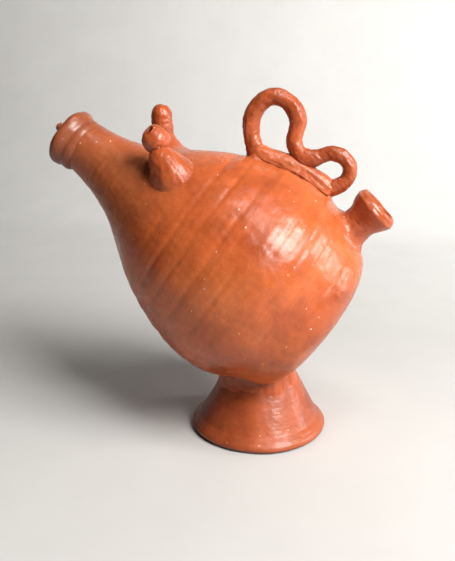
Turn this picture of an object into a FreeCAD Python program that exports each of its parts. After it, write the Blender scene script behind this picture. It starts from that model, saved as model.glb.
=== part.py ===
import FreeCAD, Part
import math
import os

# A fired clay animal jug: a tilted thrown body on a flared foot, a tapering
# neck that ends in a rolled collar, two horns, a coiled handle and a filler.
# Millimetres.  +Z is up, the neck points to -X and the filler to +X.
# The origin is the centre of the foot's resting ring.

V = FreeCAD.Vector
os.makedirs("parts", exist_ok=True)

# ---- body of revolution, measured along its own tilted axis ----
TILT = 35.9                 # body axis below the horizontal, towards the base
AXIS_AT = V(-27.5, 0, 159.7)  # a point of the axis, station 0
WALL = 6.0                  # thrown wall of body and foot
NECK_AT = -112.0            # station where the neck is joined to the body
BASE_AT = 103.8             # station of the flat thrown base
BASE_R = 44.0               # radius of the flat of the base
BODY_OUT = [                # (station, outer radius)
    (NECK_AT, 39.6), (-95, 50.0), (-77, 62.6), (-60, 73.2), (-43, 81.6),
    (-26, 88.6), (-9, 93.8), (6, 96.8), (20, 97.8), (34, 96.6), (48, 93.0),
    (61, 86.6), (73, 80.6), (84, 76.6), (91, 72.8), (97, 65.4), (101, 56.6),
    (103, 49.4), (BASE_AT, BASE_R)]

# ---- neck, collar and closed mouth, on the same axis ----
NECK_WALL = 5.2
NECK_END = -187.0
NECK_OUT = [(NECK_AT, 39.6), (-128, 32.6), (-144, 27.4), (-160, 23.9),
            (-174, 22.2), (NECK_END, 21.8)]
COLLAR_BACK = -167.0
COLLAR_FRONT = -188.0
COLLAR_R = 27.2             # outside of the full front bead
COLLAR_REAR_R = 25.3        # outside of the soft rear bead
COLLAR_GROOVE_R = 24.8
COLLAR_DROP = 1.6           # the collar sits this far below the neck's axis
MOUTH_R = 15.2              # open recess in front of the mouth disc
DISC_T = 5.0
DISC_AT = -186.0            # front face of the mouth disc
TIP_AT = -199.0             # end of the drinking nipple
NIPPLE_R = 5.2
NIPPLE_TIP_R = 3.6
NIPPLE_BORE_R = 1.5
CUTTER = 40.0               # length or radius of a tool that runs past its work

# ---- foot ----
FOOT_R = 63.0               # widest, at the rolled lip
FOOT_REST_OUT_R = 57.8
FOOT_REST_IN_R = 53.6
FOOT_TOP = 82.0             # the cone runs on inside the body to here
FOOT_WALL = 6.0
SEAM_T = 2.4                # slip smeared over the joint of foot and body
SEAM_LOW = 41.0
SEAM_HIGH = 74.0

# ---- filler trumpet ----
RIM_AT = V(101.2, -1.0, 211.5)  # centre of the rim plane
FILLER_UP = 42.7            # degrees above the horizontal
FILLER_YAW = -2.5           # degrees out of the mid plane, towards +Y
RIM_R = 20.2
THROAT_R = 10.5
WAIST_R = 14.7

# ---- horns ----
NEAR_ROOT = V(-71.5, -43.5, 238.0)
NEAR_WAIST = V(-79.3, -42.3, 254.5)
NEAR_HEAD = V(-82.0, -42.0, 265.4)
NEAR_HEAD_R = 10.7
NEAR_MOUND_R = 21.0
NEAR_MOUND_H = 10.5
HORN_HOLE_R = 2.2           # blind hole in the top of the near head
HORN_HOLE_DEEP = 18.0
HORN_HOLE_AT = NEAR_HEAD + V(-3.6, -5.0, 13.0)
HORN_HOLE_DIR = V(0.30, 0.45, -1.0)
FAR_ROOT = V(-92.5, 33.0, 246.0)
FAR_NECK = V(-98.6, 30.4, 268.0)
FAR_TOP = V(-99.6, 30.0, 295.4)
FAR_POST_R = 9.9
FAR_MOUND = V(-86.0, 33.0, 246.0)
FAR_MOUND_R = 27.0
FAR_MOUND_H = 10.5
MOUND_LEAN = 0.72           # slope of the body under the horns

# ---- handle coils, centre lines in the mid plane (x, z) ----
LOOP_R = 7.4                # coil radius of the large loop
SMALL_R = 6.4               # coil radius of the small loop
LOOP_PATH = [(-5.5, 246.0), (-6.6, 256.0), (-9.4, 266.0), (-10.4, 277.0),
             (-7.0, 289.0), (1.0, 297.4), (11.6, 299.8), (21.6, 295.4),
             (28.2, 285.6), (28.6, 273.4), (26.8, 264.6), (28.6, 257.6)]
SMALL_PATH = [(28.6, 257.6), (34.4, 252.6), (42.6, 251.0), (50.6, 252.6),
              (58.4, 253.8), (66.8, 251.6), (73.0, 245.8), (74.2, 238.4),
              (71.0, 231.6), (64.4, 226.8), (57.4, 224.2)]
STRIP_PATH = [(-1.0, 252.4), (10.0, 249.6), (22.0, 245.6), (33.0, 240.6),
              (43.0, 234.6), (51.6, 228.6), (57.4, 224.2)]
STRIP_HALF_H = 7.4
STRIP_HALF_W = 10.4
FRONT_PAD = V(-2.6, 0, 249.4)  # clay thumbed over the two handle roots
FRONT_PAD_SIZE = (12.6, 11.6, 7.0)
FRONT_PAD_LEAN = 12
REAR_PAD = V(57.4, 0, 219.8)
REAR_PAD_SIZE = (7.4, 7.2, 5.2)
REAR_PAD_LEAN = 42


def spline_edge(pts):
    curve = Part.BSplineCurve()
    curve.interpolate([V(p[0], p[1], 0) for p in pts])
    return curve.toShape()


def line(a, b):
    return Part.makeLine(V(a[0], a[1], 0), V(b[0], b[1], 0))


def revolve(edges):
    """Turn closed edges drawn as (radius, station) about the station axis."""
    face = Part.Face(Part.Wire(Part.__sortEdges__(edges)))
    solid = face.revolve(V(0, 0, 0), V(0, 1, 0), 360)
    solid.rotate(V(0, 0, 0), V(1, 0, 0), 90)
    return solid


def inset(profile, wall):
    """Shift a (station, radius) profile inwards by the wall, square to it."""
    out = []
    for i, (s, r) in enumerate(profile):
        a = profile[max(i - 1, 0)]
        b = profile[min(i + 1, len(profile) - 1)]
        ds = b[0] - a[0]
        dr = b[1] - a[1]
        size = math.hypot(ds, dr)
        out.append((s + wall * dr / size, r - wall * ds / size))
    return out


def plug(profile):
    """Solid of revolution below a (station, radius) profile."""
    pts = [(r, s) for s, r in profile]
    first = (0, pts[0][1])
    last = (0, pts[-1][1])
    edges = [spline_edge(pts), line(pts[-1], last), line(last, first)]
    edges.append(line(first, pts[0]))
    return revolve(edges)


def to_body_axis(solid):
    """Lay a solid built on +Z along the tilted body axis."""
    solid.rotate(V(0, 0, 0), V(0, 1, 0), 90 + TILT)
    solid.translate(AXIS_AT)
    return solid


def along(solid, base, direction):
    """Stand a solid built on +Z on a base point, along a direction."""
    turn = FreeCAD.Rotation(V(0, 0, 1), direction)
    solid.Placement = FreeCAD.Placement(base, turn).multiply(solid.Placement)
    return solid


def coil(path, half_in_plane, half_across):
    """Sweep an oval section along a curve in the mid plane."""
    curve = Part.BSplineCurve()
    curve.interpolate([V(x, 0, z) for x, z in path])
    edge = curve.toShape()
    start = edge.valueAt(edge.FirstParameter)
    tangent = edge.tangentAt(edge.FirstParameter)
    if abs(half_in_plane - half_across) < 0.01:
        ring = Part.Circle(start, tangent, half_across).toShape()
    else:
        side = V(0, 1, 0)
        up = tangent.cross(side)
        if half_across > half_in_plane:
            oval = Part.Ellipse(start + side * half_across,
                                start + up * half_in_plane, start)
        else:
            oval = Part.Ellipse(start + up * half_in_plane,
                                start + side * half_across, start)
        ring = oval.toShape()
    pipe = Part.Wire([edge]).makePipeShell([Part.Wire([ring])], True, False)
    return pipe


def body_filled():
    return to_body_axis(plug(BODY_OUT))


def body_hollow():
    inner = inset(BODY_OUT[:-1], WALL)
    inner[0] = (NECK_AT - 0.5, BODY_OUT[0][1] - WALL)
    inner = inner[:-1]
    inner.append((BASE_AT - WALL, inner[-1][1] - 9.0))
    return to_body_axis(plug(inner))


def neck_filled():
    return to_body_axis(plug(NECK_OUT))


def neck_hollow():
    inner = [(s, r - NECK_WALL) for s, r in NECK_OUT]
    inner[0] = (NECK_AT + 0.5, BODY_OUT[0][1] - WALL)
    inner[-1] = (NECK_END - 0.5, NECK_OUT[-1][1] - NECK_WALL)
    return to_body_axis(plug(inner))


def collar_ring():
    """A soft rear bead, a shallow groove and a full front bead."""
    b = COLLAR_BACK
    f = COLLAR_FRONT
    rear = COLLAR_REAR_R
    pts = [(20.0, b), (23.4, b - 0.3), (rear - 0.6, b - 2.2),
           (rear, b - 4.8), (COLLAR_GROOVE_R, b - 7.6),
           (COLLAR_R - 1.2, b - 10.6), (COLLAR_R, f + 6.4),
           (COLLAR_R - 0.7, f + 3.2), (COLLAR_R - 2.6, f + 0.9),
           (20.6, f), (17.6, f + 0.6), (MOUTH_R + 0.5, f + 2.2),
           (MOUTH_R, f + 4.0)]
    edges = [spline_edge(pts), line(pts[-1], (12.0, f + 4.0))]
    edges.append(line((12.0, f + 4.0), (12.0, b)))
    edges.append(line((12.0, b), pts[0]))
    ring = revolve(edges)
    ring.translate(V(COLLAR_DROP, 0, 0))
    return to_body_axis(ring)


def foot_outline(z):
    """Outer radius of the pedestal above its lip."""
    part = max(z - 2.9, 0.0) / 86.8
    return FOOT_R - 44.1 * part ** 0.8


def foot_filled(grow=0.0, low=0.0, high=FOOT_TOP):
    steps = [low + (high - low) * i / 10.0 for i in range(11)]
    side = [(foot_outline(z) + grow, z) for z in steps]
    edges = [spline_edge(side)]
    edges.append(line(side[-1], (0, high)))
    edges.append(line((0, high), (0, low)))
    edges.append(line((0, low), side[0]))
    return revolve(edges)


def foot_solid():
    """Pedestal with a rolled lip, hollow underneath."""
    top = [(foot_outline(z), z) for z in (13, 20, 30, 40, 52, 66, FOOT_TOP)]
    lip = [(FOOT_REST_OUT_R, 0.0), (61.2, 0.9), (FOOT_R, 3.3), (62.1, 5.8),
           (59.4, 8.0)]
    side = lip + top
    edges = [spline_edge(side)]
    edges.append(line(side[-1], (0, FOOT_TOP)))
    edges.append(line((0, FOOT_TOP), (0, 0)))
    edges.append(line((0, 0), side[0]))
    return revolve(edges)


def foot_inside():
    low = (FOOT_REST_IN_R + 0.4, -0.5)
    rise = [(foot_outline(z) - FOOT_WALL, z) for z in (10, 20, 32, 46, 62)]
    rise.append((foot_outline(FOOT_TOP) - FOOT_WALL, FOOT_TOP + 0.5))
    side = [low] + rise
    edges = [spline_edge(side)]
    edges.append(line(side[-1], (0, side[-1][1])))
    edges.append(line((0, side[-1][1]), (0, low[1])))
    edges.append(line((0, low[1]), side[0]))
    return revolve(edges)


def filler_dir():
    up = math.radians(FILLER_UP)
    yaw = math.radians(FILLER_YAW)
    flat = math.cos(up)
    rise = math.sin(up)
    return V(flat * math.cos(yaw), math.sin(yaw), rise * math.cos(yaw))


def filler_outer():
    pts = [(15.2, -52), (15.2, -40), (15.0, -30), (WAIST_R, -24),
           (15.7, -18), (17.8, -13), (19.6, -9), (RIM_R, -6), (19.0, -2.2),
           (16.6, 0.0)]
    edges = [spline_edge(pts), line(pts[-1], (0, 0)), line((0, 0), (0, -52))]
    edges.append(line((0, -52), pts[0]))
    return along(revolve(edges), RIM_AT, filler_dir())


def filler_inner():
    pts = [(THROAT_R, -60), (THROAT_R, -22), (THROAT_R + 1.5, -13),
           (13.9, -5), (15.4, 0.5)]
    edges = [line(pts[0], pts[1]), spline_edge(pts[1:])]
    edges.append(line(pts[-1], (0, 0.5)))
    edges.append(line((0, 0.5), (0, -60)))
    edges.append(line((0, -60), pts[0]))
    return along(revolve(edges), RIM_AT, filler_dir())


def filler_fillet():
    """Clay pressed round the root of the filler."""
    pts = [(15.0, -22.5), (16.0, -26), (17.6, -30), (20.6, -34),
           (25.0, -38.5)]
    edges = [spline_edge(pts), line(pts[-1], (25.0, -50))]
    edges.append(line((25.0, -50), (10.0, -50)))
    edges.append(line((10.0, -50), (10.0, -22.5)))
    edges.append(line((10.0, -22.5), pts[0]))
    return along(revolve(edges), RIM_AT, filler_dir())


def surface_normal(p, slope):
    """Outward normal of the body of revolution at a point on it."""
    tilt = math.radians(TILT)
    axis = V(math.cos(tilt), 0, -math.sin(tilt))
    rel = p - AXIS_AT
    radial = rel - axis * rel.dot(axis)
    radial.normalize()
    normal = radial - axis * slope
    normal.normalize()
    return normal


def mound(root, radius, height):
    """Low dome of clay square to the body, wide at its root."""
    r = radius
    h = height
    pts = [(r + 3.0, -9.0), (r + 1.5, -4.0), (r - 0.5, 0.0),
           (0.78 * r, 0.35 * h), (0.52 * r, 0.68 * h), (0.24 * r, 0.93 * h)]
    edges = [spline_edge(pts), line(pts[-1], (0, pts[-1][1]))]
    edges.append(line((0, pts[-1][1]), (0, -9.0)))
    edges.append(line((0, -9.0), pts[0]))
    return along(revolve(edges), root, surface_normal(root, MOUND_LEAN))


def stem(root, end, pts):
    """Flared column from inside the mound to the end of the boss."""
    axis = end - root
    high = axis.Length
    pts = pts[:-1] + [(pts[-1][0], high)]
    edges = [spline_edge(pts), line(pts[-1], (0, high))]
    edges.append(line((0, high), (0, pts[0][1])))
    edges.append(line((0, pts[0][1]), pts[0]))
    return along(revolve(edges), root, axis)


def near_boss():
    pts = [(16.0, -4.0), (14.4, 1.0), (11.2, 6.0), (8.2, 11.0), (6.5, 0)]
    column = stem(NEAR_ROOT, NEAR_WAIST, pts)
    return column.fuse(mound(NEAR_ROOT, NEAR_MOUND_R, NEAR_MOUND_H))


def near_head():
    axis = NEAR_HEAD - NEAR_WAIST
    top = axis.Length + 11.4
    r = NEAR_HEAD_R
    pts = [(6.5, 0.0), (7.6, 1.8), (9.6, 4.6), (r, 9.6), (10.2, 15.0),
           (7.8, 19.6), (4.2, top - 0.7)]
    edges = [spline_edge(pts), line(pts[-1], (0, top - 0.7))]
    edges.append(line((0, top - 0.7), (0, 0)))
    edges.append(line((0, 0), pts[0]))
    return along(revolve(edges), NEAR_WAIST, axis)


def far_boss():
    pts = [(21.0, -4.0), (19.6, 3.0), (15.4, 9.0), (11.8, 15.0), (10.2, 0)]
    column = stem(FAR_ROOT, FAR_NECK, pts)
    return column.fuse(mound(FAR_MOUND, FAR_MOUND_R, FAR_MOUND_H))


def far_post():
    """Round-topped post with soft finger ridges."""
    axis = FAR_TOP - FAR_NECK
    high = axis.Length
    r = FAR_POST_R
    pts = [(10.2, 0), (9.3, 3.2), (r, 7), (9.4, 10.4), (r + 0.2, 14.4),
           (9.6, 18.2), (8.6, 22), (6.0, 25.4), (2.6, high - 0.4)]
    edges = [spline_edge(pts), line(pts[-1], (0, high - 0.4))]
    edges.append(line((0, high - 0.4), (0, 0)))
    edges.append(line((0, 0), pts[0]))
    return along(revolve(edges), FAR_NECK, axis)


def pad(centre, size, lean):
    """A flattened ball of clay, half sizes along X, Y and Z, then leant."""
    ball = Part.makeSphere(1.0)
    mat = FreeCAD.Matrix()
    mat.scale(*size)
    ball = ball.transformGeometry(mat)
    ball.rotate(V(0, 0, 0), V(0, 1, 0), lean)
    ball.translate(centre)
    return ball


def save(name, shape):
    shape = shape.removeSplitter() if shape.Solids else shape
    solids = sorted(shape.Solids, key=lambda s: -s.Volume)
    good = solids[0]
    good.exportStep("parts/" + name + ".step")
    print(name, "volume", round(good.Volume, 1), "solids", len(solids),
          "valid", good.isValid(), "box", [round(v, 1) for v in (
              good.BoundBox.XMin, good.BoundBox.XMax, good.BoundBox.YMin,
              good.BoundBox.YMax, good.BoundBox.ZMin, good.BoundBox.ZMax)])


body_out = body_filled()
body_in = body_hollow()
neck_out = neck_filled()
neck_in = neck_hollow()
throat = filler_inner()

# body shell: thrown, closed by its flat base, open at neck and filler
body = body_out.cut(body_in).cut(throat)
save("body_shell", body)

# neck tube
save("neck", neck_out.cut(neck_in).cut(body_out))

# mouth disc and its nipple, pierced by one fine hole
disc_r = NECK_OUT[-1][1] - NECK_WALL
bore = Part.makeCylinder(NIPPLE_BORE_R, CUTTER, V(0, 0, TIP_AT - 16))
bore = to_body_axis(bore)
disc = Part.makeCylinder(CUTTER, DISC_T, V(0, 0, DISC_AT))
disc = to_body_axis(disc).common(neck_in)
save("mouth_disc", disc.cut(bore))
tip = Part.makeCone(NIPPLE_TIP_R, NIPPLE_R, DISC_AT - TIP_AT,
                    V(0, 0, TIP_AT))
save("mouth_nipple", to_body_axis(tip).cut(bore))

# rolled collar round the end of the neck
collar = collar_ring().cut(neck_out)
front = Part.makeCylinder(MOUTH_R, CUTTER, V(0, 0, COLLAR_BACK - CUTTER))
front = to_body_axis(front)
save("neck_collar", collar.cut(front))

# foot
foot = foot_solid().cut(foot_inside()).cut(body_out)
save("foot_pedestal", foot)
seam = foot_filled(SEAM_T, SEAM_LOW, SEAM_HIGH)
seam = seam.cut(foot_filled(0.0, SEAM_LOW - 10, SEAM_HIGH + 4))
save("foot_luting", seam.cut(body_out))

# filler
save("filler_trumpet", filler_outer().cut(throat).cut(body_out))
fillet = filler_fillet().cut(filler_outer()).cut(throat).cut(body_out)
save("filler_luting", fillet)

# horns
save("near_horn_boss", near_boss().cut(body_out))
hole = Part.makeCylinder(HORN_HOLE_R, HORN_HOLE_DEEP, HORN_HOLE_AT,
                         HORN_HOLE_DIR)
save("near_horn_head", near_head().cut(hole))
save("far_horn_boss", far_boss().cut(body_out).cut(neck_out))
save("far_horn_post", far_post())

# handle
loop = coil(LOOP_PATH, LOOP_R, LOOP_R)
small = coil(SMALL_PATH, SMALL_R, SMALL_R)
strip = coil(STRIP_PATH, STRIP_HALF_H, STRIP_HALF_W)
save("handle_large_loop", loop.cut(body_out))
small_cut = small.cut(loop).cut(body_out)
save("handle_small_loop", small_cut)
strip_cut = strip.cut(loop).cut(small).cut(body_out)
save("handle_base_strip", strip_cut)
front_pad = pad(FRONT_PAD, FRONT_PAD_SIZE, FRONT_PAD_LEAN)
front_pad = front_pad.cut(loop).cut(strip).cut(body_out)
save("handle_front_luting", front_pad)
rear_pad = pad(REAR_PAD, REAR_PAD_SIZE, REAR_PAD_LEAN)
rear_pad = rear_pad.cut(small).cut(strip).cut(loop).cut(body_out)
rear_pad = rear_pad.cut(filler_fillet()).cut(filler_outer())
save("handle_rear_luting", rear_pad)
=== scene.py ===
import math
import bpy
import numpy as np
from mathutils import Matrix


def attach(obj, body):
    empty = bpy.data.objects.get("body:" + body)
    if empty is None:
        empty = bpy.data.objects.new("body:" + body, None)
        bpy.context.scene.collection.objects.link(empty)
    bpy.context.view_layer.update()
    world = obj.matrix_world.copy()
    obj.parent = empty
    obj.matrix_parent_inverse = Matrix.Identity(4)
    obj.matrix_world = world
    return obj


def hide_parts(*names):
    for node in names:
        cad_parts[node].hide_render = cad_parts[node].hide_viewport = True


# Fired clay animal jug.  Lengths are in millimetres and MM turns them into
# the scene's metres.  Stations run along the tilted axis of the thrown body,
# from the neck (negative) to the flat thrown base (positive).

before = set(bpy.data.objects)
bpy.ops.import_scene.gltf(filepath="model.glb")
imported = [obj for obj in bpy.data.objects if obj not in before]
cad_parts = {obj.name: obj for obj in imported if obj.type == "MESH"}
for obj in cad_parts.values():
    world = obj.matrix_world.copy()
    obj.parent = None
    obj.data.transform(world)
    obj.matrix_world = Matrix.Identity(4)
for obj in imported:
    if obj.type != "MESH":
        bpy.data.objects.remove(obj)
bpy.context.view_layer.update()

MM = 0.001
AROUND = 360                 # points round the thrown body
SMOOTH_TO = 32.0             # edges sharper than this many degrees stay sharp

# ---- the body's own axis ----
TILT = math.radians(35.9)
AXIS = np.array([math.cos(TILT), 0.0, -math.sin(TILT)])
UP = np.array([math.sin(TILT), 0.0, math.cos(TILT)])
SIDE = np.array([0.0, 1.0, 0.0])
AXIS_AT = np.array([-27.5, 0.0, 159.7])

WALL = 6.0
NECK_AT = -112.0
BASE_AT = 103.8
BODY_OUT = [
    (NECK_AT, 39.6), (-95, 50.0), (-77, 62.6), (-60, 73.2), (-43, 81.6),
    (-26, 88.6), (-9, 93.8), (6, 96.8), (20, 97.8), (34, 96.6), (48, 93.0),
    (61, 86.6), (73, 80.6), (84, 76.6), (91, 72.8), (97, 65.4), (101, 56.6),
    (103, 49.4), (BASE_AT, 44.0)]

NECK_WALL = 5.2
NECK_END = -187.0
NECK_OUT = [(NECK_END, 21.8), (-174, 22.2), (-160, 23.9), (-144, 27.4),
            (-128, 32.6), (NECK_AT, 39.6)]

# throwing marks that stand out: (station, depth, half width); a negative
# depth is a ridge
MARKS = [(-62, 0.25, 2.0), (-47, 0.62, 2.4), (-38, -0.30, 2.0),
         (-31, 0.55, 2.2), (-12, 0.70, 2.8), (-4, -0.35, 2.2), (9, 0.55, 2.4),
         (26, 0.35, 2.6), (44, 0.30, 2.4), (58, 0.25, 2.0), (76, 0.30, 3.0)]

# ---- collar and mouth, (radius, distance along the neck from AXIS_AT) ----
COLLAR_OUT = [(20.6, 165.6), (22.6, 166.2), (24.2, 168.2), (24.9, 170.6),
              (25.0, 172.8), (24.9, 174.6), (25.5, 176.4), (26.5, 178.8),
              (27.1, 181.8), (26.6, 184.8), (24.6, 187.2), (20.8, 188.2),
              (17.3, 187.5), (15.6, 185.6), (15.2, 183.0)]
COLLAR_IN = [(17.5, 181.5), (20.0, 178.0), (20.2, 172.5)]
COLLAR_DROP = 1.6            # the collar sits this far below the neck's axis
DISC_FRONT = [(1.6, 186.4), (6.0, 186.2), (11.0, 185.6), (14.5, 184.6),
              (16.9, 183.6)]
DISC_BACK = [(16.9, 180.6), (10.0, 180.9), (1.6, 181.0)]
NIPPLE_OUT = [(6.4, 185.6), (5.3, 187.2), (4.7, 190.0), (4.2, 194.0),
              (3.9, 197.0), (3.3, 198.7), (2.3, 199.0), (1.6, 198.2)]
NIPPLE_IN = [(1.5, 194.0), (1.5, 186.0), (2.0, 184.6), (5.8, 184.6)]

# ---- foot ----
FOOT_R = 63.0
FOOT_NARROWING = 44.1        # how much smaller the radius is at the full height
FOOT_LIP_TOP = 2.9
FOOT_HEIGHT = 86.8
FOOT_WALL = 6.0
FOOT_REST_OUT_R = 57.8
FOOT_REST_IN_R = 53.6
FOOT_SIDE_FROM = 12.4        # the lip's profile ends at this height

# ---- filler, (radius, height above the rim along the filler's axis) ----
RIM_AT = np.array([101.2, -1.0, 211.5])
FILLER_UP = math.radians(42.7)
FILLER_YAW = math.radians(-2.5)
THROAT_R = 10.5
TRUMPET_OUT = [(15.6, -36), (15.0, -30), (14.7, -24), (15.7, -18), (17.5, -14),
               (19.2, -10), (20.2, -7.2), (20.5, -6.1), (19.9, -4.6),
               (18.9, -2.2), (17.5, -0.5), (16.3, 0.0), (15.2, -0.8)]
TRUMPET_IN = [(15.2, -0.8), (13.9, -5.0), (12.0, -12.0), (10.8, -19.0),
              (THROAT_R, -24.0)]
TRUMPET_DEEP = [(THROAT_R, -30.0), (THROAT_R, -36.5), (12.6, -37.5)]
FILLER_ROOT = -36.0          # height at which the filler stands on the body
LUTING_TOP = -22.0
LUTING_TOP_R = 14.55
LUTING_FOOT_R = 24.0

# ---- horns ----
NEAR_ROOT = np.array([-71.5, -43.5, 238.0])
NEAR_WAIST = np.array([-79.3, -42.3, 254.5])
NEAR_HEAD = np.array([-82.0, -42.0, 265.4])
FAR_ROOT = np.array([-92.5, 33.0, 246.0])
FAR_NECK = np.array([-98.6, 30.4, 268.0])
FAR_TOP = np.array([-99.6, 30.0, 295.4])
NEAR_BOSS_TOP_R = 7.4
NEAR_HEAD_R = 11.0
NEAR_HOLE = [(-1.0, 0.5), (-0.6, 0.9), (2.5, 0.92), (6.0, 0.96), (8.6, 1.0),
             (10.2, 1.12)]   # (height along the hole's axis, growth)
NEAR_HOLE_HALF = (2.7, 3.9)
FAR_BOSS_TOP_R = 10.0
FAR_POST = [(10.1, -1.5), (9.95, 1.5), (9.8, 4.4), (9.95, 7.0), (9.75, 9.6),
            (9.95, 12.0), (9.75, 14.4), (9.85, 16.6), (9.4, 19.4), (8.3, 22.4),
            (6.2, 25.0), (3.4, 26.7), (0.3, 27.3)]

# ---- handle centre lines, (x, z) in the mid plane ----
LOOP_PATH = [(-5.5, 246.0), (-6.6, 256.0), (-9.4, 266.0), (-10.4, 277.0),
             (-7.0, 289.0), (1.0, 297.4), (11.6, 299.8), (21.6, 295.4),
             (28.2, 285.6), (28.6, 273.4), (26.8, 264.6), (28.6, 257.6)]
SMALL_PATH = [(28.6, 257.6), (33.4, 251.4), (41.6, 249.2), (50.4, 251.8),
              (58.4, 253.8), (66.8, 251.6), (73.0, 245.8), (74.2, 238.4),
              (71.0, 231.6), (64.4, 226.8), (57.4, 224.2)]
STRIP_PATH = [(-10.6, 270.0), (-8.4, 262.6), (-3.8, 256.0), (3.6, 252.0),
              (12.0, 249.2), (22.0, 245.8), (33.0, 241.4), (43.0, 235.4),
              (51.6, 229.0), (57.4, 224.2)]

# ---- handle coils and the clay round their roots ----
LOOP_R = 7.35
SMALL_R = 6.4
STRIP_COIL_R = 5.9           # the strip starts as a coil inside the front leg
CAP_STEPS = ((0.93, 1.8), (0.75, 3.4), (0.45, 4.6))  # (size, height) of domes
# luting at the handle's roots: (piece, node, root, half y, half x, top (x, z),
# top radius, seed)
ROOT_LUTING = [
    ("handle_front_luting_clay", "handle_front_luting", (-0.4, 0, 249.0),
     12.4, 14.8, (-3.6, 259.5), 7.4, 131),
    ("handle_rear_luting_clay", "handle_rear_luting", (57.4, 0, 219.8),
     8.6, 7.6, (58.6, 225.0), 5.4, 141)]

# ---- camera ----
CAM_AZ = math.radians(11.82)
CAM_EL = math.radians(14.78)
CAM_DIST = 544.6
CAM_LOOK = (-29.5, -6.2, 140.3)
CAM_LENS = 38.5


# ------------------------------------------------------------------ shapes

def unit(v):
    v = np.asarray(v, float)
    return v / np.maximum(np.linalg.norm(v, axis=-1, keepdims=True), 1e-12)


def spline(points, count):
    """Natural cubic spline through points, sampled evenly by chord length."""
    pts = np.asarray(points, float)
    t = np.concatenate([[0], np.cumsum(np.linalg.norm(np.diff(pts, axis=0),
                                                      axis=1))])
    n = len(pts)
    h = np.diff(t)
    a = np.eye(n)
    b = np.zeros_like(pts)
    for i in range(1, n - 1):
        a[i, i - 1] = h[i - 1]
        a[i, i] = 2 * (h[i - 1] + h[i])
        a[i, i + 1] = h[i]
        b[i] = 6 * ((pts[i + 1] - pts[i]) / h[i]
                    - (pts[i] - pts[i - 1]) / h[i - 1])
    m = np.linalg.solve(a, b)
    u = np.linspace(0, t[-1], count)
    k = np.clip(np.searchsorted(t, u, side="right") - 1, 0, n - 2)
    hk = h[k][:, None]
    left = (t[k + 1] - u)[:, None]
    right = (u - t[k])[:, None]
    out = (m[k] * left ** 3 + m[k + 1] * right ** 3) / (6 * hk)
    out += (pts[k] / hk - m[k] * hk / 6) * left
    out += (pts[k + 1] / hk - m[k + 1] * hk / 6) * right
    return out


def lumps(p, size, seed, waves=14):
    """Smooth seeded noise, about -1 to 1, with features of the given size."""
    rng = np.random.RandomState(seed)
    total = np.zeros(p.shape[:-1])
    for _ in range(waves):
        way = unit(rng.normal(size=3))
        k = 2 * math.pi / (size * rng.uniform(0.7, 1.6))
        total += np.sin(p @ way * k + rng.uniform(0, 2 * math.pi))
    return total / math.sqrt(waves) / 1.2


def grid_mesh(name, rings, ends="poles", material=None, sharp=SMOOTH_TO):
    """Closed mesh from rings of points; ends are poles or join in a loop."""
    rings = np.asarray(rings, float)
    m, n = rings.shape[:2]
    verts = rings.reshape(-1, 3) * MM
    i = np.arange(m - 1 if ends == "poles" else m)
    j = np.arange(n)
    ii, jj = np.meshgrid(i, j, indexing="ij")
    nxt = (ii + 1) % m
    jn = (jj + 1) % n
    quads = np.stack([ii * n + jj, ii * n + jn, nxt * n + jn, nxt * n + jj],
                     -1).reshape(-1, 4)
    faces = quads.tolist()
    if ends == "poles":
        first = len(verts)
        verts = np.vstack([verts, rings[0].mean(0) * MM,
                           rings[-1].mean(0) * MM])
        faces += [[first, (k + 1) % n, k] for k in range(n)]
        base = (m - 1) * n
        faces += [[first + 1, base + k, base + (k + 1) % n] for k in range(n)]
    mesh = bpy.data.meshes.new(name)
    mesh.from_pydata(verts.tolist(), [], faces)
    mesh.update()
    return add_piece(name, mesh, material, sharp)


def add_piece(name, mesh, material, sharp=SMOOTH_TO):
    obj = bpy.data.objects.new(name, mesh)
    bpy.context.scene.collection.objects.link(obj)
    volume_out(mesh)
    mesh.polygons.foreach_set("use_smooth", [True] * len(mesh.polygons))
    mesh.set_sharp_from_angle(angle=math.radians(sharp))
    if material:
        mesh.materials.append(material)
    return obj


def volume_out(mesh):
    """Turn the faces outwards if the mesh came out inside out."""
    count = len(mesh.vertices)
    co = np.empty(count * 3)
    mesh.vertices.foreach_get("co", co)
    co = co.reshape(-1, 3)
    mesh.calc_loop_triangles()
    tri = np.empty(len(mesh.loop_triangles) * 3, int)
    mesh.loop_triangles.foreach_get("vertices", tri)
    a, b, c = co[tri.reshape(-1, 3)].transpose(1, 0, 2)
    if np.einsum("ij,ij->i", a, np.cross(b, c)).sum() < 0:
        mesh.flip_normals()


# ------------------------------------------------------------ thrown body

PROFILE = spline(NECK_OUT + BODY_OUT[1:], 900)


def marks(s, theta):
    """Throwing rings and the slow wobble of a hand-thrown wall."""
    r = radius_at(s)
    p = np.stack([s * 0.9, r * np.cos(theta), r * np.sin(theta)], -1)
    out = np.zeros_like(s)
    drift = 1.6 * np.sin(theta + 0.8) + 0.9 * np.sin(2 * theta + 2.0)
    for k, (at, depth, half) in enumerate(MARKS):
        fade = 0.72 + 0.42 * lumps(p, 70.0, 40 + k, 6)
        out -= depth * fade * np.exp(-((s + drift - at) / half) ** 2)
    turn = s / 6.4 + theta / (2 * math.pi)
    fine = np.sin(2 * math.pi * turn + 0.7 * lumps(p, 60.0, 7, 6))
    patchy = np.clip(0.45 + 0.9 * lumps(p, 42.0, 8, 8), 0, 1.5)
    out += 0.055 * fine * patchy
    out += 0.55 * lumps(p, 120.0, 3, 8) + 0.22 * lumps(p, 26.0, 4, 16)
    out += 0.11 * lumps(p, 9.0, 5, 20) + 0.035 * lumps(p, 4.5, 6, 24)
    return out


def quiet(s):
    """0 at the neck's open end and 1 from 6 mm on, so that marks fade out."""
    return np.clip((s - NECK_END) / 6.0, 0, 1)


def radius_at(s):
    return np.interp(s, PROFILE[:, 0], PROFILE[:, 1])


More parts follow.
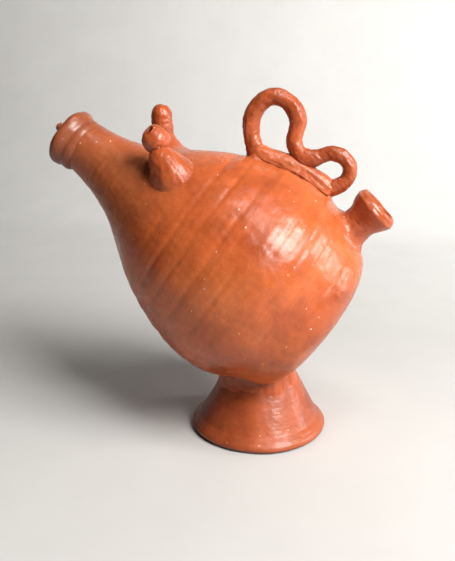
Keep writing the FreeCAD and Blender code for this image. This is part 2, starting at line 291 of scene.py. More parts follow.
def body_point(s, r, theta):
    radial = np.cos(theta)[..., None] * UP + np.sin(theta)[..., None] * SIDE
    return AXIS_AT + s[..., None] * AXIS + r[..., None] * radial


def body_height(p):
    """How far points stand off the outer surface, or past the flat base."""
    rel = p - AXIS_AT
    s = rel @ AXIS
    u = rel @ UP
    v = rel @ SIDE
    theta = np.arctan2(v, u)
    high = np.hypot(u, v) - radius_at(s) - marks(s, theta) * quiet(s)
    return np.maximum(high, s - BASE_AT)


def body_normal(p, step=1.5):
    """Outward normal of the body near points."""
    g = []
    for e in np.eye(3):
        g.append(body_height(p + step * e) - body_height(p - step * e))
    return unit(np.stack(g, -1))


def drop(p, way, reach=16.0, steps=65):
    """Slide points along a direction until they are on the body."""
    p = np.asarray(p, float)
    way = np.broadcast_to(unit(way), p.shape)
    off = np.linspace(reach, -reach, steps)
    high = body_height(p[None] + off[:, None, None] * way[None])
    inside = high <= 0
    first = np.where(inside.any(0), inside.argmax(0), steps // 2)
    first = np.maximum(first, 1)
    col = np.arange(len(p))
    h0 = high[first - 1, col]
    h1 = high[first, col]
    part = np.clip(h0 / np.maximum(h0 - h1, 1e-9), 0, 1)
    at = off[first - 1] + part * (off[first] - off[first - 1])
    return p + at[:, None] * way


def smooth_loop(p, passes):
    """Even out a closed line of points."""
    for _ in range(passes):
        p = 0.25 * np.roll(p, 1, axis=0) + 0.5 * p + 0.25 * np.roll(p, -1,
                                                                    axis=0)
    return p


def turned(profile, theta, move):
    """Rings of the body for a (station, radius) profile."""
    s = np.repeat(profile[:, 0][:, None], len(theta), 1)
    r = np.repeat(profile[:, 1][:, None], len(theta), 1)
    t = np.repeat(theta[None, :], len(profile), 0)
    d = unit(np.gradient(profile, axis=0))
    lift = marks(s, t) * quiet(s) * move
    s2 = s - d[:, 1][:, None] * lift
    r2 = r + d[:, 0][:, None] * lift
    return body_point(s2, r2, t)


def inner_profile(profile, wall):
    d = unit(np.gradient(profile, axis=0))
    return np.stack([profile[:, 0] + d[:, 1] * wall,
                     profile[:, 1] - d[:, 0] * wall], -1)


def ring_angles(count):
    return np.arange(count) * (2 * math.pi / count)


def make_body(mat):
    theta = ring_angles(AROUND)
    part = PROFILE[PROFILE[:, 0] >= NECK_AT]
    outer = turned(np.vstack([part[:-1:3], part[-1:]]), theta, 1.0)
    edge = part[-1]
    flat = np.array([(BASE_AT, edge[1] * f) for f in
                     (0.97, 0.9, 0.75, 0.55, 0.35, 0.15, 0.03)])
    t = np.repeat(theta[None, :], len(flat), 0)
    s = np.repeat(flat[:, 0][:, None], AROUND, 1)
    r = np.repeat(flat[:, 1][:, None], AROUND, 1)
    s = s + 0.25 * np.sin(r / 2.2) * np.clip((edge[1] - r) / 6, 0, 1)
    base = body_point(s, r, t)
    inside = inner_profile(part, WALL)
    inside = inside[(inside[:, 0] < BASE_AT - WALL) & (inside[:, 1] > 6)]
    inner = turned(inside[::-1][::8], theta, 0.4)
    rings = np.concatenate([base[::-1], outer[::-1], inner[::-1]])
    obj = grid_mesh("jug_body", rings, "poles", mat)
    cut_throat(obj)
    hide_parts("body_shell")
    return obj


def filler_dir():
    flat = math.cos(FILLER_UP)
    rise = math.sin(FILLER_UP)
    return np.array([flat * math.cos(FILLER_YAW), math.sin(FILLER_YAW),
                     rise * math.cos(FILLER_YAW)])


def side_axes(n, hint):
    """Two unit directions square to n, the first nearest the hint."""
    n = unit(n)
    a = np.asarray(hint, float)
    a = unit(a - n * (a @ n))
    return a, np.cross(n, a)


def lathe(base, way, profile, count, hint=(0, 0, 1)):
    """Rings of a (radius, height) profile turned about a given axis."""
    a, b = side_axes(way, hint)
    t = ring_angles(count)
    radial = np.cos(t)[:, None] * a + np.sin(t)[:, None] * b
    prof = np.asarray(profile, float)
    return (base + prof[:, 1][:, None, None] * unit(way)
            + prof[:, 0][:, None, None] * radial[None])


def roughen(rings, *layers):
    """Push ring points along their normals, by noise of each (size, depth,
    seed) in turn."""
    for size, depth, seed in layers:
        du = np.roll(rings, -1, axis=1) - np.roll(rings, 1, axis=1)
        dv = np.gradient(rings, axis=0)
        n = unit(np.cross(du, dv))
        rings = rings + n * (depth * lumps(rings, size, seed))[..., None]
    return rings


def cut_throat(obj):
    """Open the body wall under the filler."""
    rings = lathe(RIM_AT, filler_dir(), [(THROAT_R, -66), (THROAT_R, -26)], 48)
    cutter = grid_mesh("throat_cutter", rings, "poles")
    mod = obj.modifiers.new("throat", "BOOLEAN")
    mod.operation = "DIFFERENCE"
    mod.object = cutter
    mod.solver = "EXACT"
    graph = bpy.context.evaluated_depsgraph_get()
    mesh = bpy.data.meshes.new_from_object(obj.evaluated_get(graph))
    obj.modifiers.clear()
    obj.data = mesh
    bpy.data.objects.remove(cutter)


def make_neck(mat):
    theta = ring_angles(AROUND)
    part = PROFILE[PROFILE[:, 0] <= NECK_AT + 0.6]
    outer = turned(part[::2], theta, 1.0)
    inside = np.stack([part[:, 0], part[:, 1] - NECK_WALL], -1)
    inner = turned(inside[::-6], theta, 0.5)
    obj = grid_mesh("jug_neck", np.concatenate([outer, inner]), "loop", mat)
    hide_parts("neck")
    return obj


# ------------------------------------------------------- collar and mouth

def make_collar(mat):
    """Rolled collar: soft rear bead, groove, full front bead, open recess."""
    loop = np.concatenate([spline(COLLAR_OUT, 96), COLLAR_IN])
    rings = lathe(AXIS_AT - COLLAR_DROP * UP, -AXIS, loop, 220, UP)
    rings = roughen(rings, (16.0, 0.34, 21), (5.0, 0.09, 22))
    obj = grid_mesh("neck_collar_ring", rings, "loop", mat, 50)
    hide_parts("neck_collar")
    return obj


def make_mouth(mat):
    """Closing disc with a slight dome and the short pierced nipple."""
    loop = np.concatenate([spline(DISC_FRONT, 24), DISC_BACK])
    rings = lathe(AXIS_AT, -AXIS, loop, 120, UP)
    disc = grid_mesh("mouth_disc_clay", roughen(rings, (7.0, 0.12, 31)),
                     "loop", mat)
    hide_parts("mouth_disc")
    loop = np.concatenate([spline(NIPPLE_OUT, 40), NIPPLE_IN])
    rings = lathe(AXIS_AT, -AXIS, loop, 72, UP)
    tip = grid_mesh("mouth_nipple_clay", roughen(rings, (4.0, 0.32, 32)),
                    "loop", mat, 45)
    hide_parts("mouth_nipple")
    return [disc, tip]


# ------------------------------------------------------------------- foot

def foot_radius(z):
    part = np.maximum(z - FOOT_LIP_TOP, 0.0) / FOOT_HEIGHT
    return FOOT_R - FOOT_NARROWING * part ** 0.8


def foot_push(r, z, theta):
    """Uneven thrown surface of the pedestal, as a change of radius."""
    p = np.stack([r * np.cos(theta), r * np.sin(theta), z], -1)
    patchy = np.clip(0.4 + 0.9 * lumps(p, 38.0, 50, 8), 0, 1.4)
    wander = 0.8 * lumps(p, 30.0, 55, 8)
    push = 0.045 * patchy * np.sin(2 * math.pi * z / 2.9 + theta + wander)
    push = push + 0.55 * lumps(p, 60.0, 51, 8) + 0.16 * lumps(p, 15.0, 52, 14)
    return push + 0.09 * lumps(p, 6.0, 56, 18)


def foot_side(z, theta):
    """Point on the pedestal above its lip, thrown rings included."""
    r = foot_radius(z)
    r = r + foot_push(r, z, theta)
    return np.stack([r * np.cos(theta), r * np.sin(theta), z], -1)


def foot_meets(theta):
    """Height at which the pedestal's side runs into the body."""
    low = np.full_like(theta, 30.0)
    high = np.full_like(theta, 78.0)
    for _ in range(24):
        mid = 0.5 * (low + high)
        hit = body_height(foot_side(mid, theta)) < 0
        high = np.where(hit, mid, high)
        low = np.where(hit, low, mid)
    return 0.5 * (low + high)


def make_foot(mat):
    count = 300
    theta = ring_angles(count)
    top = foot_meets(theta) + 2.5
    start = FOOT_SIDE_FROM
    lip = spline([(54.4, 0.7), (FOOT_REST_IN_R + 1.4, 0.0), (56.0, 0.0),
                  (FOOT_REST_OUT_R, 0.0), (60.6, 0.7), (62.5, 2.3),
                  (62.8, 4.1), (61.9, 6.2), (59.8, 8.5), (57.5, 10.7),
                  (foot_radius(start), start)], 60)[:-1]
    rings = []
    for r, z in lip:
        rise = np.clip(z / 4.0, 0, 1)
        r = r + rise * foot_push(np.full(count, r), np.full(count, z), theta)
        p = np.stack([r * np.cos(theta), r * np.sin(theta),
                      np.full(count, z)], -1)
        p[:, 2] += 0.30 * rise * (z < 9) * lumps(p, 30.0, 54, 8)
        p[:, 2] = np.maximum(p[:, 2], 0.0)
        rings.append(p)
    for f in np.linspace(0, 1, 72):
        rings.append(foot_side(start + f * (top - start), theta))
    for f in np.linspace(1, 0, 26):
        z = 3.0 + f * (top - 3.0)
        r = foot_radius(z) - FOOT_WALL - 1.2 * (1 - f) ** 3
        r = r + 0.2 * np.sin(z * 1.1 + theta)
        rings.append(np.stack([r * np.cos(theta), r * np.sin(theta), z], -1))
    obj = grid_mesh("foot_pedestal_clay", rings, "loop", mat)
    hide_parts("foot_pedestal")
    return obj


# ------------------------------------------------- flares between pieces

def bezier(p0, p1, p2, p3, count):
    t = np.linspace(0, 1, count)[:, None, None]
    return ((1 - t) ** 3 * p0 + 3 * t * (1 - t) ** 2 * p1
            + 3 * t * t * (1 - t) * p2 + t ** 3 * p3)


def flare_rings(low, low_way, high, high_way, steps, pull_low, pull_high):
    """Outer surface from a ring on the body up to a ring on another piece."""
    span = np.linalg.norm(high - low, axis=1)[:, None]
    p1 = low + low_way * span * pull_low
    p2 = high + high_way * span * pull_high
    return bezier(low[None], p1[None], p2[None], high[None], steps)


def edge_on_body(root, radius, count, hint, seed, wave=0.025, sink=0.35):
    """Uneven ring on the body round a root, a little under its surface."""
    n = body_normal(root)
    a, b = side_axes(n, hint)
    t = ring_angles(count)
    flat = np.cos(t)[:, None] * a + np.sin(t)[:, None] * b
    rough = 1 + wave * lumps(flat * 30, 34.0, seed, 8)
    p = root + flat * (radius * rough)[:, None]
    p = smooth_loop(drop(p, n), 3)
    inward = unit(root - p)
    normal = body_normal(p)
    inward = unit(inward - normal * np.sum(inward * normal, -1,
                                           keepdims=True))
    return p - normal * sink, inward, normal


def horn_boss(name, node, root, end, end_r, radius, mat, seed, steep, open_out,
              pulls, lumpy):
    """Mound of clay on the body that narrows into the horn's neck.

    radius and steep are functions of the angle round the root; steep says
    how much the surface leaves the body upright (1) or along it (0).
    """
    count = 180
    way = unit(end - root)
    a, b = side_axes(way, (1, 0, 0))
    t = ring_angles(count)
    low, inward, normal = edge_on_body(root, radius(t), count, (1, 0, 0),
                                       seed)
    outward = np.cos(t)[:, None] * a + np.sin(t)[:, None] * b
    high = end + end_r * outward
    upright = steep(t)[:, None]
    leave = unit((1 - upright) * inward + upright * normal)
    arrive = unit(open_out * outward - (1 - open_out) * way)
    outer = flare_rings(low, leave, high, arrive, 60, *pulls)
    outer = roughen(outer, (14.0, 0.45 * lumpy, seed + 1),
                    (5.5, 0.15, seed + 2), (2.6, 0.07, seed + 3))
    under = low - normal * 2.2 + inward * 1.5
    cap = end + way * 1.2 + 0.4 * (high - end)
    rings = np.concatenate([under[None], outer, cap[None]])
    obj = grid_mesh(name, rings, "poles", mat, 55)
    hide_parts(node)
    return obj


def make_near_horn(mat):
    neck = NEAR_WAIST + 0.32 * (NEAR_HEAD - NEAR_WAIST)
    boss = horn_boss("near_horn_boss_clay", "near_horn_boss", NEAR_ROOT, neck,
                     NEAR_BOSS_TOP_R, lambda t: 20.4 + 2.6 * np.cos(t), mat, 61,
                     lambda t: 0.48 + 0.12 * np.cos(t), 0.46, (0.44, 0.34),
                     0.2)
    # head: rings about the hole's axis, so that the hole is real
    hole_way = unit((-0.34, -0.66, 0.92))
    a, b = side_axes(hole_way, (1, 0, 0))
    t = ring_angles(128)
    wide = (NEAR_HOLE_HALF[0] * np.cos(t)[:, None] * a
            + NEAR_HOLE_HALF[1] * np.sin(t)[:, None] * b)
    radial = np.cos(t)[:, None] * a + np.sin(t)[:, None] * b
    tall = unit(NEAR_HEAD - NEAR_WAIST)
    rings = []
    for height, grow in NEAR_HOLE:
        rings.append(NEAR_HEAD + hole_way * height + grow * wide)
    bore = len(rings)
    first = 0.42                 # angle from the hole's axis, in radians
    for k, polar in enumerate(np.linspace(first, math.pi - 0.02, 90)):
        round_out = min(k / 9.0, 1.0)
        across = round_out * radial + (1 - round_out) * unit(wide)
        d = unit(math.cos(polar) * hole_way + math.sin(polar) * across)
        along = d @ tall
        size = NEAR_HEAD_R + 0.9 * np.clip(along, 0, 1) ** 3
        size = size + 0.5 * np.clip(-along - 0.3, 0, 1)
        size = size - 0.5 * math.exp(-((polar - first) / 0.10) ** 2)
        rings.append(NEAR_HEAD + size[:, None] * d)
    rings = np.array(rings)
    moved = roughen(rings, (10.5, 0.45, 64), (4.5, 0.12, 65), (2.2, 0.05, 66))
    moved[:bore] = rings[:bore]
    head = grid_mesh("near_horn_head_clay", moved, "poles", mat, 50)
    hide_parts("near_horn_head")
    return [boss, head]


def make_far_horn(mat):
    boss = horn_boss("far_horn_boss_clay", "far_horn_boss", FAR_ROOT,
                     FAR_NECK, FAR_BOSS_TOP_R, lambda t: 30.0 + 10.0 * np.cos(t), mat,
                     71, lambda t: 0.12 + 0.06 * np.cos(t), 0.12,
                     (0.22, 0.46), 1.0)
    rings = lathe(FAR_NECK, FAR_TOP - FAR_NECK, spline(FAR_POST, 90), 128,
                  (1, 0, 0))
    rings = roughen(rings, (11.0, 0.40, 74), (4.5, 0.16, 75), (2.2, 0.06, 76))
    way = unit(FAR_TOP - FAR_NECK)
    start = FAR_NECK - way * 3.0 + 0.6 * (rings[:1] - FAR_NECK)
    post = grid_mesh("far_horn_post_clay", np.concatenate([start, rings]),
                     "poles", mat, 50)
    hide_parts("far_horn_post")
    return [boss, post]


# ----------------------------------------------------------------- filler

def make_filler(mat, slip):
    way = filler_dir()
    outer = spline(TRUMPET_OUT, 130)
    inner = spline(TRUMPET_IN, 50)[1:]
    profile = np.concatenate([outer, inner, TRUMPET_DEEP])
    rings = lathe(RIM_AT, way, profile, 200, (0, 0, 1))
    rough_to = len(outer) + 30      # deeper in, the bore stays smooth
    turn = 0.03 * np.sin(profile[:, 1] * 2.4) * (profile[:, 1] > -30)
    axis_part = (rings - RIM_AT) @ way
    radial = rings - RIM_AT - axis_part[..., None] * way
    rings = rings + unit(radial) * turn[:, None, None]
    moved = roughen(rings, (17.0, 0.40, 81), (5.0, 0.10, 82))
    moved[rough_to:] = rings[rough_to:]
    trumpet = grid_mesh("filler_trumpet_clay", moved, "loop", mat, 50)
    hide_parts("filler_trumpet")

    count = 200
    root = drop((RIM_AT + FILLER_ROOT * way)[None], way)[0]
    t = ring_angles(count)
    a, b = side_axes(way, (0, 0, 1))
    flat = np.cos(t)[:, None] * a + np.sin(t)[:, None] * b
    high = RIM_AT + LUTING_TOP * way + LUTING_TOP_R * flat
    low, inward, normal = edge_on_body(root, np.full(count, LUTING_FOOT_R),
                                       count, (0, 0, 1), 83, 0.05)
    outer = flare_rings(low, unit(inward + 0.15 * normal), high,
                        np.broadcast_to(-way, high.shape), 50, 0.42, 0.45)
    outer = roughen(outer, (12.0, 0.35, 84), (4.0, 0.10, 85))
    inside = np.stack([low - normal * 2.4 + inward * 3.0,
                       RIM_AT - 37 * way + 12.0 * flat,
                       RIM_AT - 24 * way + 12.0 * flat])
    rings = np.concatenate([outer, inside[::-1]])
    lute = grid_mesh("filler_luting_clay", rings, "loop", slip, 55)
    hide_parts("filler_luting")
    return [trumpet, lute]


def make_foot_luting(mat):
    """Slip smeared over the joint between foot and body."""
    count = 320
    theta = ring_angles(count)
    top = smooth_loop(foot_meets(theta), 6)
    p = np.stack([np.cos(theta), np.sin(theta), 0 * theta], -1)
    hang = 12.5 + 3.4 * lumps(40 * p, 34.0, 91, 9)
    hang = hang + 1.3 * lumps(40 * p, 11.0, 92, 9)
    z_low = top - np.clip(hang, 5.0, 16.0)
    low = foot_side(z_low, theta)
    corner = foot_side(top, theta)
    below = foot_side(top - 1.0, theta)
    up_foot = unit(corner - below)
    reach = 6.6 + 1.3 * lumps(40 * p, 28.0, 93, 9)
    out = corner + p * reach[:, None]
    out = drop(out, [0, 0, 1.0], 22.0, 90)
    out = smooth_loop(out, 4)
    on_body = body_normal(out)
    toward = unit(corner - out)
    outer = flare_rings(low - 0.05 * p, unit(up_foot + 0.10 * p),
                        out - on_body * 0.25, toward, 30, 0.40, 0.32)
    outer = roughen(outer, (9.0, 0.22, 94), (3.6, 0.08, 95))
    inner = np.stack([out - on_body * 2.2 + toward * 2.0,
                      corner - 2.5 * p + [0, 0, 1.0],
                      low - 1.2 * p])
    obj = grid_mesh("foot_luting_clay", np.concatenate([outer, inner]),
                    "loop", mat, 55)
    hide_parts("foot_luting")
    return obj


# ----------------------------------------------------------------- handle

def sweep(path, section, count, seed, bend=0.0):
    """Rings of a hand-rolled coil; section(f, angle) gives its two offsets."""
    centre = np.stack([path[:, 0], 0 * path[:, 0], path[:, 1]], -1)
    f = np.linspace(0, 1, len(path))
    run = np.cumsum(np.r_[0, np.linalg.norm(np.diff(path, axis=0), axis=1)])
    centre[:, 1] = bend * np.sin(f * 2.4 * math.pi + seed)
    tangent = unit(np.gradient(centre, axis=0))
    side = np.broadcast_to(SIDE, tangent.shape)
    out = unit(np.cross(tangent, side))
    side = np.cross(out, tangent)
    t = ring_angles(count)
    across, rise = section(f[:, None], t[None, :])
    smear = np.stack([0.30 * run[:, None] + 0 * across, across, rise], -1)
    grow = 1 + (0.045 * lumps(smear, 5.0, seed + 5, 18)
                * np.clip(0.6 + lumps(smear, 22.0, seed + 6, 8), 0, 1.6))
    return (centre[:, None] + side[:, None] * (across * grow)[..., None]
            + out[:, None] * (rise * grow)[..., None])


def end_caps(rings):
    """Close a coil with short domes at both ends."""
    domes = []
    for end, before in ((rings[0], rings[1]), (rings[-1], rings[-2])):
        c = end.mean(0)
        on = unit(c - before.mean(0))
        domes.append(np.array([c + (end - c) * k + on * h
                               for k, h in CAP_STEPS]))
    return np.concatenate([domes[0][::-1], rings, domes[1]])


def loop_section(f, t):
    """Large coil: thicker at its front root, pinched above the strip."""
    r = LOOP_R + 0.2 * np.sin(f * 17 + 1) + 0.8 * np.exp(-(f / 0.06) ** 2)
    r = r - 0.25 * np.exp(-((f - 0.85) / 0.08) ** 2)
    flat = 1 - 0.03 * np.cos(2 * t + 3 * f)
    return r * np.cos(t) * flat, r * np.sin(t) * flat


def small_section(f, t):
    """Small coil: thicker where it leaves the large loop and at its end."""
    r = SMALL_R + 0.22 * np.sin(f * 15) + 0.5 * np.exp(-((f - 1) / 0.1) ** 2)
    r = r + 1.5 * np.exp(-((f - 0.16) / 0.12) ** 2)
    flat = 1 - 0.03 * np.cos(2 * t + 1 + 4 * f)
    return r * np.cos(t) * flat, r * np.sin(t) * flat


def strip_section(f, t):
    """Coil that is pressed flat on the body, with a skirt and a side groove."""
    laid = np.clip((f - 0.10) / 0.20, 0, 1)
    laid = laid * laid * (3 - 2 * laid)
    turn = (t + math.pi) % (2 * math.pi) - math.pi
    side = np.where(np.abs(turn) > math.pi / 2,
                    np.sign(turn) * math.pi - turn, turn)
    skirt = 3.6 * np.exp(-((side + 0.95) / 0.42) ** 2)
    wide = STRIP_COIL_R + laid * (3.6 - 2.0 * np.sin(t) + skirt)
    tall = STRIP_COIL_R + laid * (1.5 + 0.3 * np.sin(f * 14))
    lean = 0.12 + 0.18 * np.sin(f * 5 + 0.4)
    depth = 0.9 * laid * (0.65 + 0.5 * np.sin(f * 8 + 1.2))
    groove = np.exp(-((side - lean) / 0.34) ** 2)
    return (wide - depth * groove) * np.cos(t), tall * np.sin(t)


def make_coils(mat, slip):
    """Base strip, large loop and small loop, rolled and pinched by hand."""
    pieces = []
    plan = [("handle_large_loop_clay", "handle_large_loop", LOOP_PATH,
             loop_section, 240, 101, 0.5, mat),
            ("handle_small_loop_clay", "handle_small_loop", SMALL_PATH,
             small_section, 200, 111, 0.3, mat),
            ("handle_base_strip_clay", "handle_base_strip", STRIP_PATH,
             strip_section, 190, 121, 0.0, slip)]
    for name, node, points, section, steps, seed, bend, paint in plan:
        rings = sweep(spline(points, steps), section, 96, seed, bend)
        rings = roughen(rings, (15.0, 0.38, seed), (5.5, 0.15, seed + 1),
                        (2.4, 0.08, seed + 2))
        obj = grid_mesh(name, end_caps(rings), "poles", paint, 60)
        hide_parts(node)
        pieces.append(obj)
    return pieces


def make_root_luting(slip):
    """Clay thumbed over the two roots of the handle."""
    pieces = []
    t = ring_angles(120)
    for name, node, at, half_y, half_x, top, top_r, seed in ROOT_LUTING:
        root = drop(np.array([at], float), (0.2, 0, 1))[0]
        size = np.hypot(half_x * np.cos(t), half_y * np.sin(t))
        low, inward, normal = edge_on_body(root, size, len(t), (1, 0, 0),
                                           seed)
        n = body_normal(root)
        a, b = side_axes(n, (1, 0, 0))
        end = np.array([top[0], 0, top[1]])
        high = end + top_r * (np.cos(t)[:, None] * a + np.sin(t)[:, None] * b)
        outer = flare_rings(low, unit(inward + 0.3 * normal), high,
                            np.broadcast_to(-n, high.shape), 30, 0.4, 0.4)
        outer = roughen(outer, (6.0, 0.25, seed + 1))
        under = low - normal * 2.0 + inward * 1.5
        cap = end + 0.4 * (high - end)
        rings = np.concatenate([under[None], outer, cap[None]])
        obj = grid_mesh(name, rings, "poles", slip, 55)
        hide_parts(node)
        pieces.append(obj)
    return pieces


# -------------------------------------------------------------- materials

class Nodes:
    """Small helper to build a shader tree in order."""

    def __init__(self, name):
        self.mat = bpy.data.materials.new(name)
        self.mat.use_nodes = True
        self.tree = self.mat.node_tree
        self.shader = self.tree.nodes["Principled BSDF"]

    def add(self, kind, **inputs):
        node = self.tree.nodes.new(kind)
        for key, value in inputs.items():
            if key.startswith("set_"):
                setattr(node, key[4:], value)
            else:
                self.link(value, node.inputs[key])
        return node

    def link(self, value, socket):
        if isinstance(value, bpy.types.NodeSocket):
            self.tree.links.new(value, socket)
        else:
            socket.default_value = value

    def noise(self, vector, scale, detail=4.0, rough=0.55):
        node = self.add("ShaderNodeTexNoise", Vector=vector, Scale=scale,
                        Detail=detail, Roughness=rough)
        return node.outputs["Fac"]

    def spots(self, vector, scale, size, channel, rare):
        """1 on a round spot in the few cells picked by a colour channel."""
        cells = self.add("ShaderNodeTexVoronoi", Vector=vector, Scale=scale)
        pick = self.add("ShaderNodeSeparateColor",
                        Color=cells.outputs["Color"])
        return self.math("MULTIPLY",
                         self.math("LESS_THAN", cells.outputs["Distance"],
                                   size),
                         self.math("GREATER_THAN", pick.outputs[channel],
                                   rare))

    def ramp(self, value, stops):
        node = self.add("ShaderNodeValToRGB", Fac=value)
        items = node.color_ramp.elements
        while len(items) < len(stops):
            items.new(0.5)
        for item, (at, shade) in zip(items, stops):
            item.position = at
            colour = shade if isinstance(shade, tuple) else (shade,) * 3
            item.color = (*colour, 1.0)
        return node.outputs["Color"]

    def mix(self, factor, first, second, how="MIX"):
        node = self.add("ShaderNodeMix", set_data_type="RGBA",
                        set_blend_type=how)
        self.link(factor, node.inputs[0])
        for value, socket in ((first, node.inputs[6]),
                              (second, node.inputs[7])):
            if isinstance(value, tuple):
                value = (*value, 1.0)
            self.link(value, socket)
        return node.outputs[2]

    def math(self, how, first, second=0.0):
        node = self.add("ShaderNodeMath", set_operation=how)
        self.link(first, node.inputs[0])
        self.link(second, node.inputs[1])
        return node.outputs[0]


LIME = (0.80, 0.56, 0.40)
PALE_LIME = (0.86, 0.66, 0.50)
PIT = (0.10, 0.032, 0.016)
NECK_TONE = (0.60, 0.74, 1.10)   # what the clay is multiplied by at the collar
NECK_FADE = 0.14                 # metres over which that tone fades out


def clay(name, main, dark, pale, rough_low, rough_high, along=0.0,
         crease_shade_low=0.30, neck_fade=False):
    """Burnished red earthenware: fired patches, streaks, grit and pits, with painted
    shade in the creases.

    along is the turn about Y that lays the thrown axis on the streaks' Z.
    """
    n = Nodes(name)
    place = n.add("ShaderNodeTexCoord").outputs["Object"]
    laid = n.add("ShaderNodeMapping", Vector=place,
                 Rotation=(0.0, along, 0.0)).outputs["Vector"]
    streak_at = n.add("ShaderNodeMapping", Vector=laid,
                      Scale=(14.0, 14.0, 420.0)).outputs["Vector"]
    patches = n.noise(place, 13.0, 5.0, 0.6)
    clouds = n.noise(place, 46.0, 6.0, 0.65)
    streaks = n.noise(streak_at, 1.0, 3.0, 0.6)
    grain = n.noise(place, 900.0, 3.0, 0.6)
    fired = n.ramp(patches, [(0.30, dark), (0.50, main), (0.74, pale)])
    mottle = n.ramp(clouds, [(0.30, 0.80), (0.55, 1.0), (0.78, 1.12)])
    colour = n.mix(1.0, fired, mottle, "MULTIPLY")
    if neck_fade:
        # the clay gets browner along the neck, towards the collar
        way = n.add("ShaderNodeSeparateXYZ", Vector=laid).outputs["Z"]
        start = (AXIS_AT @ AXIS + NECK_END) * MM
        far = n.math("MULTIPLY", n.math("SUBTRACT", way, start),
                     1 / NECK_FADE)
        tone = n.ramp(far, [(0.0, NECK_TONE), (1.0, 1.0)])
        colour = n.mix(1.0, colour, tone, "MULTIPLY")
    lines = n.ramp(streaks, [(0.32, 0.72), (0.5, 1.0), (0.68, 1.12)])
    colour = n.mix(0.22, colour, lines, "MULTIPLY")
    salt = n.ramp(grain, [(0.30, 0.82), (0.52, 1.0), (0.72, 1.10)])
    colour = n.mix(0.6, colour, salt, "MULTIPLY")
    # fine lime grit, a few larger grains and dark pits
    grit = n.spots(place, 210.0, 0.115, 0, 0.90)
    colour = n.mix(n.math("MULTIPLY", grit, 0.75), colour, LIME)
    grains = n.spots(place, 64.0, 0.042, 2, 0.72)
    colour = n.mix(n.math("MULTIPLY", grains, 0.85), colour, PALE_LIME)
    pits = n.spots(place, 330.0, 0.13, 1, 0.90)
    colour = n.mix(n.math("MULTIPLY", pits, 0.7), colour, PIT)
    # painted shade: ambient occlusion within 8 mm darkens the base colour where
    # pieces meet, in the creases and near the floor
    crease = n.add("ShaderNodeAmbientOcclusion", set_samples=6,
                   Distance=0.008).outputs["AO"]
    crease_shade = n.ramp(crease, [(0.25, crease_shade_low), (0.80, 1.0)])
    colour = n.mix(1.0, colour, crease_shade, "MULTIPLY")
    n.link(colour, n.shader.inputs["Base Color"])
    sheen = n.ramp(n.noise(place, 75.0, 4.0, 0.6),
                   [(0.32, rough_low), (0.70, rough_high)])
    n.link(sheen, n.shader.inputs["Roughness"])
    n.shader.inputs["Specular IOR Level"].default_value = 0.40
    n.shader.inputs["Coat Weight"].default_value = 0.08
    n.shader.inputs["Coat Roughness"].default_value = 0.14
    # relief: throwing scratches, clay grain, uneven skin, pits and grit
    scratch_at = n.add("ShaderNodeMapping", Vector=laid,
                       Scale=(30.0, 30.0, 1500.0)).outputs["Vector"]
    scratch = n.noise(scratch_at, 1.0, 2.0, 0.6)
    peel = n.noise(place, 230.0, 3.0, 0.6)
    relief = n.math("ADD", n.math("MULTIPLY", scratch, 0.18),
                    n.math("MULTIPLY", n.noise(place, 620.0, 4.0, 0.6), 0.4))
    relief = n.math("ADD", relief, n.math("MULTIPLY", peel, 1.1))
    relief = n.math("SUBTRACT", relief, n.math("MULTIPLY", pits, 0.8))
    relief = n.math("ADD", relief, n.math("MULTIPLY", grit, 0.5))
    bump = n.add("ShaderNodeBump", Strength=0.35, Distance=0.0006,
                 Height=relief)
    n.link(bump.outputs["Normal"], n.shader.inputs["Normal"])
    return n.mat


def stage_material(name, near, far, rough):
    """Plain cloudy surface that gets paler towards its back, painted light standing
    in for a brightly lit wall behind.
    """
    n = Nodes(name)
    place = n.add("ShaderNodeTexCoord").outputs["Object"]
    cloud = n.ramp(n.noise(place, 9.0, 5.0, 0.6), [(0.3, 0.95), (0.7, 1.0)])
    back = n.add("ShaderNodeSeparateXYZ", Vector=place).outputs["Y"]
    depth = n.ramp(n.math("MULTIPLY", back, 0.9), [(0.25, near), (0.95, far)])
    n.link(n.mix(1.0, depth, cloud, "MULTIPLY"),
           n.shader.inputs["Base Color"])
    n.shader.inputs["Roughness"].default_value = rough
    return n.mat


# ------------------------------------------------------------------ stage

FLOOR_FRONT = -2600
FLOOR_BACK = 900
FLOOR_HALF = 3000
CURVE_R = 500
WALL_TOP = 2600
# floor colour at the front and at the back; the paler back is painted light for a
# brightly lit wall
FLOOR_NEAR = (0.53, 0.525, 0.51)
FLOOR_FAR = (0.88, 0.875, 0.86)
LOOK_AT = (0.0, 0.0, 0.15)
DAYLIGHT = (1.0, 0.98, 0.95)
SOFT = (1.0, 0.99, 0.97)
# (name, place, (width, height), watts, colour)
LAMPS = [("window_key", (1.10, -0.70, 1.20), (0.90, 0.85), 56, DAYLIGHT),
         ("window_low", (1.62, 0.30, 0.50), (0.35, 0.55), 10, DAYLIGHT),
         ("top_soft", (0.22, -0.42, 1.62), (0.45, 0.35), 6, SOFT)]
ROOM_LIGHT = 0.02


def make_stage():
    """Plain pale floor that sweeps up behind the jug."""
    line = [(FLOOR_FRONT, 0), (FLOOR_BACK, 0)]
    for k in range(1, 13):
        a = k / 12 * math.pi / 2
        line.append((FLOOR_BACK + CURVE_R * math.sin(a),
                     CURVE_R - CURVE_R * math.cos(a)))
    line.append((FLOOR_BACK + CURVE_R, WALL_TOP))
    verts = []
    faces = []
    for k, (y, z) in enumerate(line):
        verts += [(side * FLOOR_HALF * MM, y * MM, z * MM)
                  for side in (-1, 1)]
        if k:
            i = 2 * k
            faces.append((i - 2, i - 1, i + 1, i))
    mesh = bpy.data.meshes.new("floor_sweep")
    mesh.from_pydata(verts, [], faces)
    mesh.polygons.foreach_set("use_smooth", [True] * len(mesh.polygons))
    floor = bpy.data.objects.new("floor_sweep", mesh)
    bpy.context.scene.collection.objects.link(floor)
    mesh.materials.append(stage_material("pale_floor", FLOOR_NEAR, FLOOR_FAR,
                                         0.8))


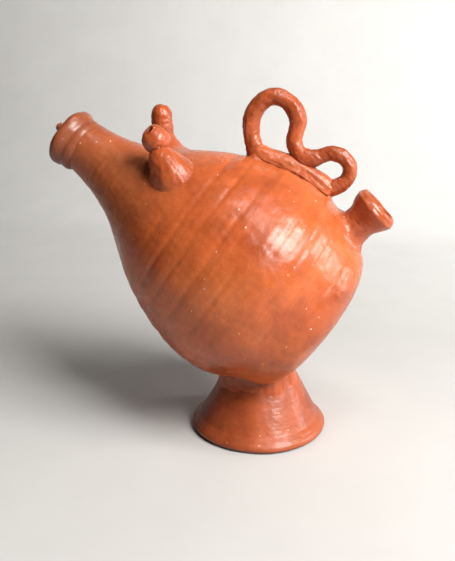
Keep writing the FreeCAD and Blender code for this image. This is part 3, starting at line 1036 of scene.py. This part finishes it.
def area_light(name, at, size, power, colour):
    data = bpy.data.lights.new(name, "AREA")
    data.shape = "RECTANGLE"
    data.size = size[0]
    data.size_y = size[1]
    data.energy = power
    data.color = colour
    lamp = bpy.data.objects.new(name, data)
    bpy.context.scene.collection.objects.link(lamp)
    aim(lamp, at, LOOK_AT)


def aim(obj, at, look):
    """Place an object and turn its -Z towards a point (metres)."""
    z = unit(np.array(at, float) - np.array(look, float))
    x = unit(np.cross((0, 0, 1), z))
    y = np.cross(z, x)
    rows = [[x[i], y[i], z[i], at[i]] for i in range(3)] + [[0, 0, 0, 1]]
    obj.matrix_world = Matrix(rows)


def make_lights():
    for lamp in LAMPS:
        area_light(*lamp)
    world = bpy.data.worlds.new("soft_room")
    bpy.context.scene.world = world
    world.use_nodes = True
    sky = world.node_tree.nodes["Background"]
    sky.inputs["Color"].default_value = (*SOFT, 1)
    sky.inputs["Strength"].default_value = ROOM_LIGHT
    bpy.context.scene.view_settings.view_transform = "Standard"


def make_camera():
    data = bpy.data.cameras.new("view")
    data.lens = CAM_LENS
    data.sensor_width = 36.0
    data.clip_start = 0.02
    data.clip_end = 20.0
    cam = bpy.data.objects.new("view", data)
    bpy.context.scene.collection.objects.link(cam)
    look = np.array(CAM_LOOK) * MM
    back = np.array([math.sin(CAM_AZ) * math.cos(CAM_EL),
                     -math.cos(CAM_AZ) * math.cos(CAM_EL),
                     math.sin(CAM_EL)])
    aim(cam, look + back * CAM_DIST * MM, look)
    bpy.context.scene.camera = cam


def main():
    turn = -(math.pi / 2 + TILT)
    body_clay = clay("burnished_terracotta", (0.46, 0.094, 0.024),
                     (0.28, 0.048, 0.014), (0.55, 0.138, 0.040), 0.22, 0.44,
                     turn, neck_fade=True)
    hand_clay = clay("handled_terracotta", (0.37, 0.070, 0.019),
                     (0.19, 0.034, 0.011), (0.50, 0.120, 0.036), 0.24, 0.46)
    foot_clay = clay("foot_terracotta", (0.33, 0.066, 0.020),
                     (0.17, 0.031, 0.011), (0.44, 0.100, 0.032), 0.34, 0.50)
    brown = clay("collar_terracotta", (0.26, 0.064, 0.024),
                 (0.14, 0.032, 0.014), (0.36, 0.100, 0.042), 0.28, 0.47, turn)
    slip = clay("smoothed_slip", (0.42, 0.085, 0.025),
                (0.27, 0.050, 0.017), (0.50, 0.120, 0.040), 0.27, 0.44)
    strip_clay = clay("pressed_slip", (0.46, 0.105, 0.034),
                      (0.30, 0.060, 0.020), (0.54, 0.150, 0.056), 0.25, 0.42,
                      0.0, 0.62)
    pieces = [make_body(body_clay), make_neck(body_clay),
              make_collar(brown), make_foot(foot_clay),
              make_foot_luting(slip)]
    pieces += make_mouth(brown)
    pieces += make_near_horn(hand_clay)
    pieces += make_far_horn(hand_clay)
    pieces += make_filler(hand_clay, slip)
    pieces += make_coils(hand_clay, strip_clay)
    pieces += make_root_luting(strip_clay)
    for piece in pieces:
        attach(piece, "root")
    make_stage()
    make_lights()
    make_camera()


main()
